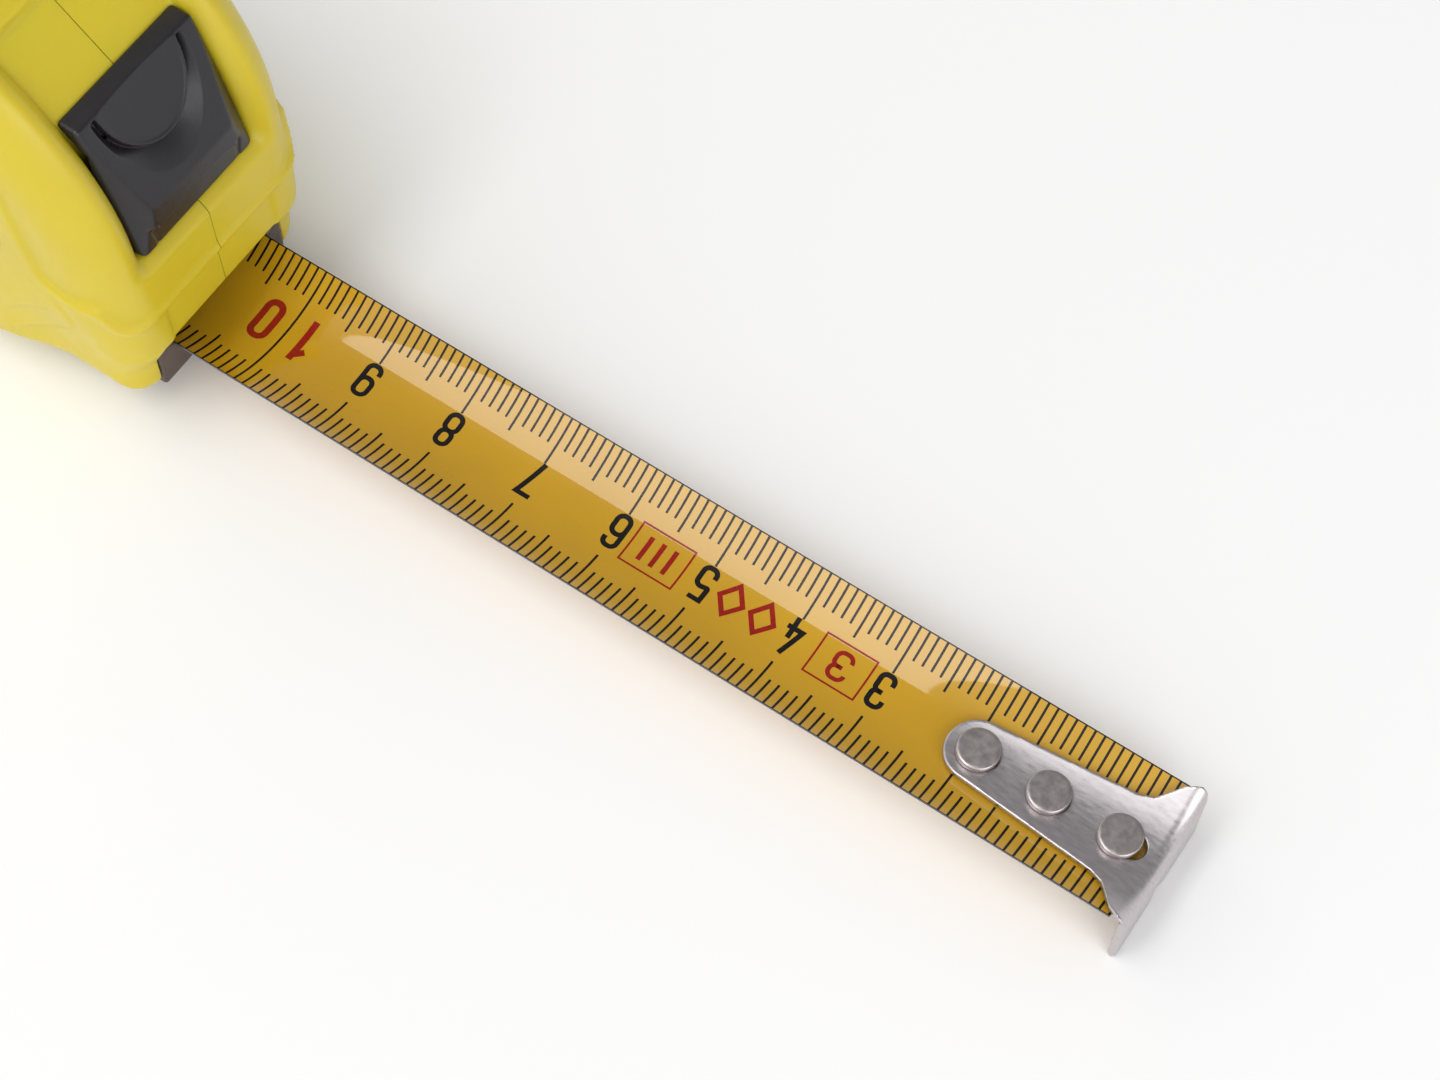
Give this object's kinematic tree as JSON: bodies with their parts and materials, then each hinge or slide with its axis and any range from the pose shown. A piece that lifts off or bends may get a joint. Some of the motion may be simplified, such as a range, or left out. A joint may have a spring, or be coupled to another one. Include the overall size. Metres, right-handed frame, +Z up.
{
  "type": "pocket tape measure",
  "caption": "Yellow pocket tape measure with its curved steel blade drawn out, riveted end hook, thumb lock, spring reel and belt clip.",
  "frame": {"origin": "on the flat base, below the reel's axis, on the centre plane", "axes": "+X along the blade towards the end hook, +Z up from the base, +Y to the left of the blade"},
  "size_m": [0.1619, 0.0356, 0.0527],
  "materials": {
    "case_yellow": "satin",
    "lock_black": "satin",
    "insert_dark": "satin",
    "blade_yellow": "gloss",
    "spring_steel": "satin",
    "hook_steel": "satin",
    "screw_steel": "satin",
    "reel_plastic": "matte",
    "label_silver": "satin",
    "clip_steel": "polished"
  },
  "bodies": {
    "case": {"left_case": "case_yellow", "right_case": "case_yellow", "case_screw_1": "screw_steel", "case_screw_2": "screw_steel", "case_screw_3": "screw_steel", "side_label": "label_silver", "centre_post": "reel_plastic", "mouth_bumper": "insert_dark", "belt_clip": "clip_steel", "clip_screw": "screw_steel"},
    "reel": {"reel": "reel_plastic", "reel_cover": "reel_plastic", "blade_coil": "blade_yellow", "mainspring": "spring_steel"},
    "blade": {"blade": "blade_yellow", "hook_rivet_1": "hook_steel", "hook_rivet_2": "hook_steel", "hook_rivet_3": "hook_steel"},
    "hook": {"end_hook": "hook_steel"},
    "lock": {"lock_button": "lock_black", "lock_tongue": "lock_black"}
  },
  "joints": [
    {"name": "blade_slide", "type": "slide", "parent": "case", "child": "blade", "axis": [1, 0, 0], "range_m": [-0.1045, 0], "deforming": ["blade"]},
    {"name": "hook_play", "type": "slide", "parent": "blade", "child": "hook", "axis": [1, 0, 0], "range_m": [-0.0008, 0]},
    {"name": "reel_spin", "type": "hinge", "parent": "case", "child": "reel", "pos_m": [0, 0, 0.027], "axis": [0, 1, 0], "range_deg": [0, 325], "deforming": ["mainspring"]},
    {"name": "lock_slide", "type": "slide", "parent": "case", "child": "lock", "axis": [-0.7314, 0, 0.682], "range_m": [0, 0.003]}
  ],
  "couplings": [
    {"joint": "reel_spin", "follows": "blade_slide", "rad_per_m": -53.763}
  ]
}
